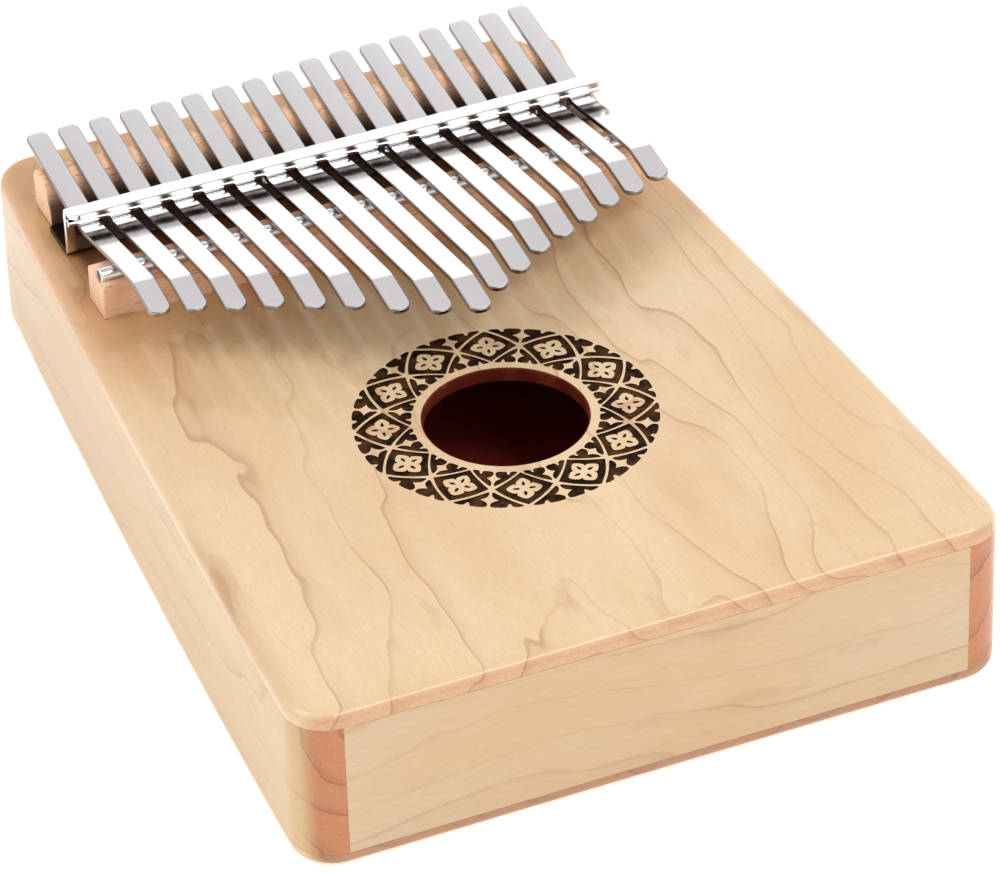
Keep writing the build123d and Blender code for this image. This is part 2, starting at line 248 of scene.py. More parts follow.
# The marks in maple, each as (along the grain, across it, up) in millimetres. Sway and lift bend
# the growth rings, middle and ragged roughen them, and the others are patches of colour or grain.
SWAY, LIFT, MIDDLE, RAGGED = (90, 30, 30), (46, 15, 15), (20, 5, 5), (6, 0.8, 0.8)
STRONG, BLUSH, STAIN = (50, 16, 16), (70, 26, 20), (26, 7, 7)
FIBRE, FLECK, PORE = (5.0, 0.28, 0.28), (1.6, 0.35, 0.35), (0.5, 0.5, 0.5)
SIDEWAYS_SWING = 1.6                    # how much further a ring sways than it lifts
RING_LINE = ((0.90, 0.98), (0.984, 1.0))    # share of a ring where its line begins, and ends
RING_SHADE = ((0.55, 0.97), (0.975, 1.0))   # the same for the soft shade before the line


def grain_lumps(along, length, across, up):
    """A lump's (x, y, z) size when the grain runs along X or Y."""
    return (length, across, up) if along == "X" else (across, length, up)


def maple(name, along, seed, face, end, pith, ring, climb, swing, painted_shading=None):
    """Lacquered maple. Its growth rings run round a pith, given as (across, up), that climbs along
    the board, so the cut faces show long lines with pointed arches and the ends show arcs. The last
    colour of face and of end is that of the lines. The last argument, when given, paints shade into
    the colour that comes out."""
    pale, warm, line = face
    end_pale, end_line = end
    finish = Finish(name, LACQUER)

    def marks(size, shift, *settings):
        return finish.noise(grain_lumps(along, *size), seed + shift, *settings)

    sway = marks(SWAY, 0, 1.5, 0.45) - 0.5
    lift = marks(LIFT, 2) - 0.5
    ragged = marks(RAGGED, 3, 3.0, 0.65) - 0.5
    middle = marks(MIDDLE, 5) - 0.5
    out = finish.reach("Y" if along == "X" else "X") + sway * (SIDEWAYS_SWING * swing) - pith[0]
    rise = finish.reach("Z") + finish.reach(along) * climb + lift * swing - pith[1]
    radius = finish.sum("SQRT", out * out + rise * rise)
    share = finish.sum("FRACT", radius * (1 / ring) + middle * 0.15 + ragged * 0.035)
    edge = finish.band(share, *RING_LINE)
    shade = finish.band(share, *RING_SHADE)
    strong = finish.step(marks(STRONG, 9), 0.40, 0.62)
    blush = finish.step(marks(BLUSH, 13, 3.0, 0.6), 0.34, 0.68)
    stain = finish.step(marks(STAIN, 33, 3.0, 0.6), 0.60, 0.70)
    fibre = marks(FIBRE, 17, 3.0, 0.7)
    fleck = finish.step(marks(FLECK, 21, 1.0), 0.60, 0.74)
    wood = finish.mix(blush, pale, warm)
    wood = finish.mix(stain * 0.24 + shade * strong * 0.24, wood, line)
    wood = finish.mix(edge * (0.24 + 0.42 * strong), wood, line)
    wood = finish.mix(finish.step(fibre, 0.35, 0.75) * 0.20 + fleck * 0.12, wood, line)
    pores = finish.step(finish.noise(PORE, seed + 25, 2.0, 0.7), 0.35, 0.7)
    end_wood = finish.mix(pores * 0.30, end_pale, end_line)
    end_wood = finish.mix(shade * 0.35 + edge * 0.6, end_wood, end_line)
    on_end = finish.step(abs(finish.normal(along)), 0.45, 0.85)
    finish.feed("Roughness", 0.36 + 0.14 * fibre + 0.10 * on_end)
    finish.bump(fibre * 0.6 + edge * 0.4, 0.02, 0.5)
    wood = finish.mix(on_end, wood, end_wood)
    # painted shade goes into the colour here, where the board has it
    finish.feed("Base Color", painted_shading(finish, wood) if painted_shading else wood)
    return finish.material


def painted_action_shade(finish, wood):
    """Painted shade: darkens and warms the soundboard slowly towards the action, and paints a deep
    shadow on what the tines cover between the bridge and the rear bar.
    """
    patch = finish.noise((40, 30, 40), 77.0)
    along = finish.reach("Y")
    across = abs(finish.reach("X") - ROW_MIDDLE)
    # painted shade, darker and warmer towards the action
    painted_shade_towards_action = finish.step(along + patch * 16 - 8, -6, 36)
    # painted shadow under the tines, between the bridge and the rear bar
    painted_shadow_under_tines = (finish.step(along, BRIDGE_HIGH.y - 2.3, BRIDGE_HIGH.y + 1.7)
               * finish.step(along, BAR_LOW.y + 4, BAR_LOW.y)
               * finish.step(across, HALF_BAR + 0.5, HALF_BAR - 2.5))
    # the painted shade's colours: a warm shade, then a deep shadow
    wood = finish.mix(painted_shade_towards_action * 0.75, wood, (0.88, 0.66, 0.44), "MULTIPLY")
    return finish.mix(painted_shadow_under_tines * 0.9, wood, (0.24, 0.12, 0.07), "MULTIPLY")


def bridge_wood(name, shade):
    """Open-pored pinkish hardwood: short dark pores along X, dots on the sawn ends. The second
    argument sets how much painted shade darkens a bar low down on its front, where it stands in
    shadow close behind the bracket."""
    finish = Finish(name, {"Coat Weight": 0.05, "Coat Roughness": 0.3})
    bands = finish.noise((60, 2.6, 2.6), 4.0)
    fibre = finish.noise((7, 0.4, 0.4), 8.0, 3.0, 0.7)
    pores = finish.step(finish.noise((3.2, 0.30, 0.30), 15.0, 1.0), 0.61, 0.70)
    wood = finish.mix(finish.step(bands, 0.3, 0.7), (0.95, 0.58, 0.36), (0.86, 0.47, 0.28))
    wood = finish.mix(finish.step(fibre, 0.35, 0.75) * 0.4, wood, (0.97, 0.68, 0.48))
    on_end = finish.step(abs(finish.normal("X")), 0.5, 0.9)
    end_wood = finish.mix(bands, (0.88, 0.58, 0.40), (0.76, 0.46, 0.30))
    wood = finish.mix(on_end, wood, end_wood)
    wood = finish.mix(pores * (0.55 + 0.25 * on_end), wood, (0.17, 0.06, 0.03))
    # painted shade low on the bar's front, which stands in shadow behind the bracket
    low = finish.step(finish.reach("Z"), BAR_HIGH.z - 0.95, BAR_HIGH.z - 4.45) * (1 - on_end)
    finish.feed("Base Color", finish.mix(low * shade, wood, (0.10, 0.045, 0.03)))
    finish.feed("Roughness", 0.55 + 0.2 * pores)
    finish.bump(1 - pores * 0.9 + fibre * 0.15, 0.08, 0.6)
    return finish.material


def bare_wood(name, pale, dark, along):
    """Sanded wood with no lacquer, for what lies inside the box."""
    finish = Finish(name, {})
    fibre = finish.noise(grain_lumps(along, 30, 0.8, 0.8), 2.0, 4.0, 0.65)
    bands = finish.noise(grain_lumps(along, 120, 7, 7), 6.0)
    finish.feed("Base Color", finish.mix(fibre * 0.6 + bands * 0.4, pale, dark))
    finish.feed("Roughness", 0.62 + 0.2 * fibre)
    finish.bump(fibre, 0.03, 0.4)
    return finish.material


def scorched_wood(name, deep, light, lump):
    """Wood charred by a hot cutter: near black, with reddish places where it went less deep."""
    finish = Finish(name, {"Specular IOR Level": 0.06})
    patch = finish.noise((lump,) * 3, 1.0, 4.0, 0.6)
    fibre = finish.noise((0.25, 2.0, 0.25), 5.0, 3.0, 0.7)
    char = finish.step(patch, 0.40, 0.68) * 0.75 + finish.step(fibre, 0.45, 0.8) * 0.25
    finish.feed("Base Color", finish.mix(char, deep, light))
    finish.feed("Roughness", 0.5 + 0.3 * fibre)
    finish.bump(fibre + patch * 0.5, 0.05, 0.5)
    return finish.material


def polished_steel(name, colour, roughness, grind, lump, painted_shade_strength=0.0):
    """Bright metal with grinding lines and faint handling marks. Where the last argument is set,
    painted shade makes the metal dark on faces that look down, on what lies inside the fold behind
    the slots, and on the front of the wall between them, where it stands in shadow and mirrors dark
    gaps."""
    finish = Finish(name, {"Metallic": 1.0})
    lines = finish.noise(lump, 3.0, 3.0, 0.6)
    marks = finish.step(finish.noise((9, 14, 9), 11.0, 3.0, 0.6), 0.45, 0.7)
    metal = finish.mix(marks * 0.25, colour, [0.9 * part for part in colour])
    # painted shade: faces that look down, the fold behind the slots, and the wall's front between
    # the tines
    below = finish.step(finish.normal("Z"), -0.30, -0.75)
    behind = (finish.step(finish.reach("Y"), WALL_FRONT + 0.6, WALL_FRONT + 1.0)
              * finish.step(finish.reach("Z"), LIP_UNDER - 0.7, LIP_UNDER - 2.4))
    between = (finish.step(finish.normal("Y"), -0.45, -0.85) * 0.7
               * finish.step(abs(finish.reach("X") - ROW_MIDDLE), HALF_BAR, HALF_BAR - 1.5))
    # how much painted shade falls here, and its dark colour
    dark = finish.sum("MAXIMUM", finish.sum("MAXIMUM", below, behind), between) * painted_shade_strength
    finish.feed("Base Color", finish.mix(dark, metal, (0.045, 0.022, 0.014)))
    finish.feed("Roughness", roughness + grind * lines + 0.05 * marks + 0.3 * dark)
    finish.bump(lines, 0.004, 0.5)
    return finish.material


# the soundboard gets painted shade towards the action and a painted shadow under the tines
MAPLE_TOP = maple("maple_top", "Y", seed=2.0,
                  face=((0.73, 0.545, 0.33), (0.68, 0.465, 0.265), (0.45, 0.23, 0.105)),
                  end=((0.60, 0.35, 0.19), (0.42, 0.20, 0.09)),
                  pith=(-14, -12), ring=7.2, climb=0.11, swing=22, painted_shading=painted_action_shade)
MAPLE_BACK = maple("maple_back", "Y", seed=31.0,
                   face=((0.70, 0.49, 0.29), (0.64, 0.42, 0.24), (0.42, 0.22, 0.11)),
                   end=((0.40, 0.20, 0.10), (0.27, 0.12, 0.055)),
                   pith=(10, 40), ring=6.5, climb=0.10, swing=20)
MAPLE_SIDES = maple("maple_sides", "Y", seed=47.0,
                    face=((0.58, 0.39, 0.175), (0.54, 0.345, 0.15), (0.39, 0.21, 0.088)),
                    end=((0.48, 0.175, 0.060), (0.27, 0.088, 0.027)),
                    pith=(0, 84), ring=8.5, climb=0.05, swing=16)
MAPLE_ENDS = maple("maple_ends", "X", seed=63.0,
                   face=((0.55, 0.405, 0.24), (0.55, 0.36, 0.195), (0.40, 0.225, 0.11)),
                   end=((0.60, 0.34, 0.19), (0.40, 0.19, 0.09)),
                   pith=(-66, -36), ring=8.0, climb=0.035, swing=16)
BRIDGE_WOOD = bridge_wood("bridge_hardwood", 0.0)
# the rear bar has painted shade low on its front
REAR_BAR_WOOD_PAINTED_SHADE = bridge_wood("rear_bar_hardwood_painted_shade", 0.92)
BLOCK_WOOD = bare_wood("block_softwood", (0.60, 0.42, 0.24), (0.42, 0.26, 0.13), "X")
# painted shade: the inside faces are deep red for the shadow inside the box
INSIDE_PAINTED_SHADE_WOOD = bare_wood("inside_painted_shade", (0.45, 0.040, 0.018), (0.30, 0.022, 0.010), "Y")
BURNT_WOOD = scorched_wood("burnt_rosette", (0.011, 0.005, 0.002), (0.10, 0.036, 0.010), 3.2)
BURNT_EDGE = scorched_wood("burnt_hole_edge", (0.10, 0.012, 0.005), (0.21, 0.042, 0.016), 5.0)
TINE_STEEL = polished_steel("tine_spring_steel", (0.93, 0.915, 0.925), 0.09, 0.06, (0.12, 6.0, 6.0))
# painted shade: the tines' sides and undersides are dark grey for their shade and the dark gaps
# they mirror
TINE_SIDE_PAINTED_SHADE = polished_steel("tine_side_painted_shade", (0.34, 0.30, 0.28), 0.18, 0.10,
                                 (0.3, 0.5, 0.1))
# the bracket's painted shade is fully on
BRACKET_PLATE = polished_steel("bracket_bright_plate", (0.95, 0.94, 0.92), 0.035, 0.02,
                               (5.0, 5.0, 5.0), painted_shade_strength=1.0)
ROD_STEEL = polished_steel("rod_drawn_steel", (0.86, 0.86, 0.87), 0.12, 0.08, (6.0, 0.15, 0.15))
SAWN_STEEL = polished_steel("rod_sawn_end", (0.10, 0.085, 0.08), 0.35, 0.2, (0.3, 0.3, 0.3))
SCREW_STEEL = polished_steel("screw_zinc", (0.72, 0.72, 0.74), 0.20, 0.10, (0.3, 0.3, 0.3))


# ------------------------------------------------------------- mesh making
def quarter_round(radius, steps):
    """(inset, depth) down a rounded edge, from the flat face to the side."""
    angles = [0.5 * math.pi * step / steps for step in range(steps + 1)]
    return [(radius * (1 - math.sin(angle)), radius * (1 - math.cos(angle))) for angle in angles]


def rim(thickness, upper, lower, upper_steps=3, lower_steps=3):
    """(inset, depth) down the whole edge of a sheet whose two edges are rounded by these radii."""
    bottom = [(inset, thickness - depth) for inset, depth in quarter_round(lower, lower_steps)]
    return quarter_round(upper, upper_steps) + bottom[::-1]


def moved_in(loop, distance):
    """The loop moved to its left, square to itself, which is into the sheet."""
    moved = []
    for here, point in enumerate(loop):
        before = (point - loop[here - 1]).normalized()
        after = (loop[(here + 1) % len(loop)] - point).normalized()
        left = Vector((-before.y - after.y, before.x + after.x)) / (1 + before.dot(after))
        moved.append(point + distance * left)
    return moved


def turns_left(loop):
    return sum(a.cross(b) for a, b in zip(loop, loop[1:] + loop[:1])) > 0


def fill(loops, rows):
    """Triangles between closed loops of points, each with the set of loops that it lies in."""
    points, rings = [], []
    for loop in loops:
        ring = list(range(len(points), len(points) + len(loop)))
        rings.append(ring if turns_left(loop) else ring[::-1])
        points.extend(loop)
    _, _, faces, sources, _, insides = delaunay_2d_cdt(points, rows, rings, 0, 1e-6)
    return [([sources[corner][0] for corner in face], set(inside))
            for face, inside in zip(faces, insides)]


class Solid:
    """Points and faces of one piece while it is being made."""

    def __init__(self):
        self.points, self.faces, self.paints = [], [], []

    def add_points(self, points):
        first = len(self.points)
        self.points.extend(points)
        return first

    def add_face(self, corners, paint):
        self.faces.append(corners)
        self.paints.append(paint)

    def join_rings(self, upper, lower, count, paint):
        for here in range(count):
            there = (here + 1) % count
            self.add_face([upper + here, upper + there, lower + there, lower + here], paint)


UPPER, LOWER, OUTSIDE, HOLE, ENGRAVED = range(5)     # kinds of face
SHARP_FROM = math.radians(38)


def numbered(starts, loops):
    """The point numbers of some loops, one after another, from the first number of each."""
    return [start + step for start, loop in zip(starts, loops) for step in range(len(loop))]


def cut_sheet(loops, rims, place, rows=(), engraved=()):
    """A sheet cut to its first loop, with the others as holes; each loop has its own rim. place
    turns (x, y, depth) into a point of the finished piece, so a sheet can also be folded. Engraved
    loops sink what lies between them by the engraving's depth."""
    solid = Solid()
    upper_starts, lower_starts = [], []
    for number, (loop, levels) in enumerate(zip(loops, rims)):
        starts = []
        for inset, depth in levels:
            ring = [place(point.x, point.y, depth) for point in moved_in(loop, inset)]
            starts.append(solid.add_points(ring))
        for upper, lower in zip(starts, starts[1:]):
            solid.join_rings(upper, lower, len(loop), HOLE if number else OUTSIDE)
        upper_starts.append(starts[0])
        lower_starts.append(starts[-1])
    sunk_starts = []
    for loop in engraved:
        ends = [solid.add_points([place(point.x, point.y, depth) for point in loop])
                for depth in (0.0, ENGRAVING_DEPTH)]
        upper_starts.append(ends[0])
        sunk_starts.append(ends[1])
        solid.join_rings(upper_starts[-1], sunk_starts[-1], len(loop), ENGRAVED)
    upper_loops = [moved_in(loop, levels[0][0]) for loop, levels in zip(loops, rims)]
    lower_loops = [moved_in(loop, levels[-1][0]) for loop, levels in zip(loops, rims)]
    holes = set(range(1, len(loops)))
    level = numbered(upper_starts, [*upper_loops, *engraved])
    sunk = numbered(upper_starts, upper_loops) + numbered(sunk_starts, engraved)
    for face, inside in fill([*upper_loops, *engraved], rows):
        if 0 in inside and not inside & holes:
            deep = (len(inside) - 1) % 2 == 1
            corners = [(sunk if deep else level)[corner] for corner in face]
            solid.add_face(corners, ENGRAVED if deep else UPPER)
    level = numbered(lower_starts, lower_loops)
    for face, inside in fill(lower_loops, rows):
        if 0 in inside and not inside & holes:
            solid.add_face([level[corner] for corner in reversed(face)], LOWER)
    return solid


def make_piece(name, solid, body, finishes, replaced):
    """The finished mesh object. finishes goes from a kind of face to its material; None is for the
    kinds that it doesn't name."""
    mesh = bpy.data.meshes.new(name)
    mesh.from_pydata([Vector(point) * MM for point in solid.points], [], solid.faces)
    materials = list(dict.fromkeys(finishes.values()))
    for material in materials:
        mesh.materials.append(material)
    for polygon, paint in zip(mesh.polygons, solid.paints):
        polygon.material_index = materials.index(finishes.get(paint, finishes[None]))
    work = bmesh.new()
    work.from_mesh(mesh)
    bmesh.ops.recalc_face_normals(work, faces=work.faces)
    work.to_mesh(mesh)
    work.free()
    mesh.shade_smooth()
    mesh.set_sharp_from_angle(angle=SHARP_FROM)
    piece = bpy.data.objects.new(name, mesh)
    bpy.context.scene.collection.objects.link(piece)
    even = piece.modifiers.new("even_shading", "WEIGHTED_NORMAL")
    even.keep_sharp = True
    if body:
        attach(piece, body)
    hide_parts(*replaced)
    return piece


def circle(centre, radius, count, clockwise=False):
    turn = -1 if clockwise else 1
    angles = [turn * 2 * math.pi * step / count for step in range(count)]
    return [centre + radius * Vector((math.cos(angle), math.sin(angle))) for angle in angles]


def rounded(corners, radii, steps=8):
    """A closed outline whose corners are rounded; a radius of 0 keeps the corner."""
    outline = []
    for here, (corner, radius) in enumerate(zip(corners, radii)):
        corner = Vector(corner)
        back = (Vector(corners[here - 1]) - corner).normalized()
        ahead = (Vector(corners[(here + 1) % len(corners)]) - corner).normalized()
        if not radius:
            outline.append(corner)
            continue
        half = 0.5 * back.angle(ahead)
        centre = corner + (back + ahead).normalized() * (radius / math.sin(half))
        start = corner + back * (radius / math.tan(half)) - centre
        sweep = math.pi - 2 * half
        turn = 1 if back.x * ahead.y - back.y * ahead.x < 0 else -1
        for step in range(steps + 1):
            outline.append(centre + Matrix.Rotation(turn * sweep * step / steps, 2) @ start)
    return outline


def smoothed(loop, times):
    """The closed loop with its corners cut, again and again, until it is a soft curve."""
    for _ in range(times):
        ahead = loop[1:] + loop[:1]
        loop = [point for a, b in zip(loop, ahead) for point in (a.lerp(b, 0.25), a.lerp(b, 0.75))]
    return loop


# --------------------------------------------------------------- sound box
# Places along a side: the two ends, and steps that keep clear of the rounded corners.
WHOLE_SIDE = (-HALF_LENGTH, *(HALF_LENGTH * (step / 12 - 1) for step in range(2, 23)), HALF_LENGTH)


def half_width(y, inset=0.0):
    """Half the box's width at a place along it, less an inset."""
    share = (y + HALF_LENGTH) / (2 * HALF_LENGTH)
    bow = SIDE_BOW * (1 - (y / HALF_LENGTH) ** 2)
    return HALF_FRONT + (HALF_REAR - HALF_FRONT) * share + bow - inset


def side_line(side, stations=WHOLE_SIDE, inset=0.0):
    """Points along one long side of the box; side is -1 for the left and 1 for the right."""
    return [(side * half_width(y, inset), y) for y in stations]


def corner_radii(line):
    """The upright corners' radius at a side line's two ends, and none between them."""
    return [CORNER_RADIUS if abs(y) == HALF_LENGTH else 0 for _, y in line]


def box_outline():
    outline = side_line(1) + side_line(-1)[::-1]
    return rounded(outline, corner_radii(outline))


def lying(top):
    """Places a board flat, with its upper face at a height."""
    return lambda x, y, depth: (x, y, top - depth)


# The rosette is laid out by (around, out): millimetres around the middle circle of the ring, and
# millimetres outwards from it. The ring holds a row of diamonds with triangles between them.
RING_RADIUS = 22.6
DIAMOND_COUNT = 12
DIAMOND_HALF_WIDTH, DIAMOND_HALF_HEIGHT, DIAMOND_BULGE = 5.42, 4.95, 0.035
FLOWER_TIP, FLOWER_NOTCH, FLOWER_SPREAD = 3.15, 1.75, 1.04
PETAL_SLOT_OUT = 1.50                   # from the flower's middle to the middle of a leaf
PETAL_SLOT_HALF_LENGTH, PETAL_SLOT_HALF_WIDTH = 0.66, 0.31
INNER_SCROLL_REACH = 0.975
# One half of the scroll in the outer triangle, from the crossing out to the rim.
SCROLL = ((0.24, 0.74), (1.25, 1.52), (2.35, 2.50), (3.35, 3.38), (4.35, 4.28), (5.45, 5.22),
          (4.60, 5.55), (3.62, 5.45), (3.42, 4.80), (3.12, 4.45), (2.86, 4.78), (2.80, 5.45),
          (2.30, 5.55), (0.75, 5.55), (0.22, 5.25), (0.22, 4.40), (0.50, 4.00), (0.90, 3.62),
          (1.55, 3.32), (0.95, 3.02), (0.52, 2.55), (0.24, 2.00))


def turned(x, y, turn):
    return x * math.cos(turn) - y * math.sin(turn), x * math.sin(turn) + y * math.cos(turn)


def on_ring(diamond, around, out):
    """A point of the rosette; diamond is the number of a diamond, or a half between two of them."""
    angle = 2 * math.pi * (diamond + 0.5) / DIAMOND_COUNT + around / RING_RADIUS
    return HOLE_CENTRE + (RING_RADIUS + out) * Vector((math.sin(angle), math.cos(angle)))


def diamond_frame():
    """The frame's outer edge: nearly straight sides that bulge a little."""
    points = []
    for side in range(4):
        for step in range(8):
            share = step / 8
            bulge = 1 + DIAMOND_BULGE * math.sin(math.pi * share)
            x, y = turned((1 - share) * bulge, share * bulge, 0.5 * math.pi * side)
            points.append((DIAMOND_HALF_WIDTH * x, DIAMOND_HALF_HEIGHT * y))
    return points


def flower():
    """Four pointed petals that reach towards the diamond's corners."""
    points = []
    for step in range(64):
        angle = 2 * math.pi * step / 64
        fold = abs(math.cos(2 * angle))
        petal = 0.72 * fold ** 0.5 + 0.28 * fold ** 8
        reach = FLOWER_NOTCH + (FLOWER_TIP - FLOWER_NOTCH) * petal
        points.append((FLOWER_SPREAD * reach * math.cos(angle), reach * math.sin(angle)))
    return points


def petal_slot(quarter):
    """A small leaf cut along one petal."""
    points = []
    for step in range(14):
        angle = 2 * math.pi * step / 14
        along = PETAL_SLOT_OUT + PETAL_SLOT_HALF_LENGTH * math.cos(angle)
        across = PETAL_SLOT_HALF_WIDTH * math.sin(angle) * (1 - 0.25 * math.cos(angle))
        points.append(turned(along, across, 0.5 * math.pi * quarter))
    return points


def rosette():
    """Every engraved loop of the rosette."""
    scroll = smoothed([Vector(point) for point in SCROLL], 2)
    loops = []
    for diamond in range(DIAMOND_COUNT):
        for shape in (diamond_frame(), flower(), *(petal_slot(quarter) for quarter in range(4))):
            loops.append([on_ring(diamond, around, out) for around, out in shape])
        for side in (-1, 1):
            for out in (1, -INNER_SCROLL_REACH):
                loops.append([on_ring(diamond + 0.5, side * p.x, out * p.y) for p in scroll])
    return loops


def soundboard():
    thickness = BOARD_HIGH.z - BOARD_LOW.z
    hole = circle(HOLE_CENTRE, HOLE_RADIUS, 96, clockwise=True)
    rims = (rim(thickness, EDGE_ROUND, SEAM_EDGE, 9, 2),
            rim(thickness, HOLE_UPPER_EDGE, HOLE_LOWER_EDGE, 4, 5))
    solid = cut_sheet([box_outline(), hole], rims, lying(BOARD_HIGH.z), engraved=rosette())
    finishes = {None: MAPLE_TOP, HOLE: BURNT_EDGE, ENGRAVED: BURNT_WOOD, LOWER: INSIDE_PAINTED_SHADE_WOOD}
    make_piece("carved_soundboard", solid, "sound_box", finishes,
               ["soundboard"])


def back_board():
    low, high = box_of("back_board")
    levels = rim(high.z - low.z, SEAM_EDGE, EDGE_ROUND, 2, 9)
    solid = cut_sheet([box_outline()], [levels], lying(high.z))
    finishes = {None: MAPLE_BACK, UPPER: INSIDE_PAINTED_SHADE_WOOD}
    make_piece("rounded_back_board", solid, "sound_box", finishes, ["back_board"])


def wall_piece(name, node, corners, radii, finish):
    """One upright wall of the box, cut from a board that stands between back and soundboard."""
    low, high = box_of(node)
    levels = rim(high.z - low.z, SEAM_EDGE, SEAM_EDGE, 2, 2)
    solid = cut_sheet([rounded(corners, radii)], [levels], lying(high.z))
    make_piece(name, solid, "sound_box", {None: finish}, [node])


def side_board(side, node):
    outer = side_line(side)
    inner = side_line(side, inset=SIDE_THICKNESS)[::-1]
    corners, radii = outer + inner, corner_radii(outer) + [0] * len(inner)
    if side < 0:
        corners, radii = corners[::-1], radii[::-1]
    wall_piece(f"shaped_{node}", node, corners, radii, MAPLE_SIDES)


def end_panel(node):
    low, high = box_of(node)
    right = side_line(1, (low.y, high.y), SIDE_THICKNESS)
    left = side_line(-1, (high.y, low.y), SIDE_THICKNESS)
    wall_piece(f"fitted_{node}", node, right + left, [0] * 4, MAPLE_ENDS)


# ------------------------------------------------------- bars and round rods
def bar_along_x(section, low_x, high_x, end_edge):
    """A bar with a (y, z) section, and its two ends eased."""
    levels = rim(high_x - low_x, end_edge, end_edge)
    return cut_sheet([section], [levels], lambda y, z, depth: (low_x + depth, y, z))


def rear_bar():
    low, high = BAR_LOW, BAR_HIGH
    corners = ((low.y, low.z), (high.y, low.z), (high.y, high.z), (low.y, high.z))
    section = rounded(corners, (0, 0, BAR_BACK_ROUND, BAR_FRONT_ROUND), 10)
    solid = bar_along_x(section, low.x, high.x, BAR_END_EDGE)
    make_piece("eased_rear_bar", solid, "sound_box", {None: REAR_BAR_WOOD_PAINTED_SHADE},
               ["rear_bar"])


def front_bridge():
    """The bar with a shallow groove in which its rod lies."""
    low, high = BRIDGE_LOW, BRIDGE_HIGH
    radius = (ROD_HIGH.z - ROD_LOW.z) / 2
    first = math.asin((ROD_CENTRE.z - high.z) / radius)
    angles = [first + (math.pi - 2 * first) * step / 12 for step in range(13)]
    groove = [(ROD_CENTRE.y + radius * math.cos(angle), ROD_CENTRE.z - radius * math.sin(angle))
              for angle in angles]
    corners = [(low.y, low.z), (high.y, low.z), (high.y, high.z), *groove, (low.y, high.z)]
    radii = [0.0, 0.0, BRIDGE_ROUND, *(0.0 for _ in groove), BRIDGE_ROUND]
    solid = bar_along_x(rounded(corners, radii, 5), low.x, high.x, BRIDGE_END_EDGE)
    make_piece("grooved_front_bridge", solid, "sound_box", {None: BRIDGE_WOOD},
               ["front_bridge"])


def round_rod(node, edge):
    low, high = box_of(node)
    centre, radius = (low + high) / 2, (high.z - low.z) / 2
    section = circle(Vector((centre.y, centre.z)), radius, 32)
    solid = bar_along_x(section, low.x, high.x, edge)
    finishes = {None: ROD_STEEL, UPPER: SAWN_STEEL, LOWER: SAWN_STEEL}
    make_piece(f"polished_{node}", solid, "sound_box", finishes, [node])


# --------------------------------------------------- bent strips and sheets
class BentLine:
    """A line in the (y, z) plane: straight runs between corners, each corner bent to a radius."""

    def __init__(self, corners, radii):
        corners = [Vector(corner) for corner in corners]
        runs = [b - a for a, b in zip(corners, corners[1:])]
        headings = [math.atan2(run.y, run.x) for run in runs]
        turns = [math.remainder(b - a, 2 * math.pi) for a, b in zip(headings, headings[1:])]
        cuts = [radius * math.tan(abs(turn) / 2) for radius, turn in zip(radii, turns)]
        self.start, self.heading, self.spans = corners[0], headings[0], []
        for number, run in enumerate(runs):
            before, after = [0.0, *cuts, 0.0][number:number + 2]
            self.spans.append((run.length - before - after, 0.0))
            if number < len(turns):
                self.spans.append((radii[number] * abs(turns[number]), turns[number]))
        self.length = sum(length for length, _ in self.spans)

    def marks(self, bend_steps, longest_run):
        """Distances along the line where a mesh needs a row: span ends, and steps between them."""
        marks, done = [0.0], 0.0
        for length, turn in self.spans:
            steps = bend_steps if turn else max(1, math.ceil(length / longest_run))
            marks += [done + length * step / steps for step in range(1, steps + 1)]
            done += length
        return marks

    def at(self, distance, height):
        """The point a distance along the line, and a height to its left."""
        point, heading, left = self.start.copy(), self.heading, distance
        for number, (length, turn) in enumerate(self.spans):
            final = number == len(self.spans) - 1
            used = left if final else max(min(left, length), min(left, 0.0))
            if turn:
                radius, swept = length / turn, turn * used / length
                point += radius * Vector((math.sin(heading + swept) - math.sin(heading),
                                          math.cos(heading) - math.cos(heading + swept)))
                heading += swept
            else:
                point += used * Vector((math.cos(heading), math.sin(heading)))
            left -= used
            if left <= 0:
                break
        return point + height * Vector((-math.sin(heading), math.cos(heading)))


def strip_outline(half, length, marks, start_round, end_round, steps):
    """Outline of a strip of this half width and length, with rounded corners at its start and its
    end, and a point on each side at every mark between them."""
    stations = [0.0, *marks, length]
    corners = [(half, station) for station in stations]
    corners += [(-half, station) for station in reversed(stations)]
    rounds = {0.0: start_round, length: end_round}
    return rounded(corners, [rounds.get(station, 0.0) for _, station in corners], steps)


def level_rows(outline):
    """Pairs of points on the two sides of an outline that lie at the same height."""
    rows = {}
    for number, point in enumerate(outline):
        rows.setdefault(round(point.y, 4), []).append(number)
    return [tuple(pair) for pair in rows.values() if len(pair) == 2]


def tine_line(tip_y, end_y):
    """The lower face of a tine, from its tip over the bridge rod and under the pressure rod."""
    end_z = DIP_Z + TAIL_RISE * (end_y - DIP_Y)
    bend_y = tip_y + TIP_LENGTH
    bend_z = BEARING.y + TONGUE_RISE * (BEARING.x - bend_y)
    tip_z = bend_z - TIP_FALL * TIP_LENGTH
    corners = ((tip_y, tip_z), (bend_y, bend_z), BEARING, (DIP_Y, DIP_Z), (end_y, end_z))
    return BentLine(corners, (TIP_RADIUS, ROD_BEND_RADIUS, DIP_RADIUS))


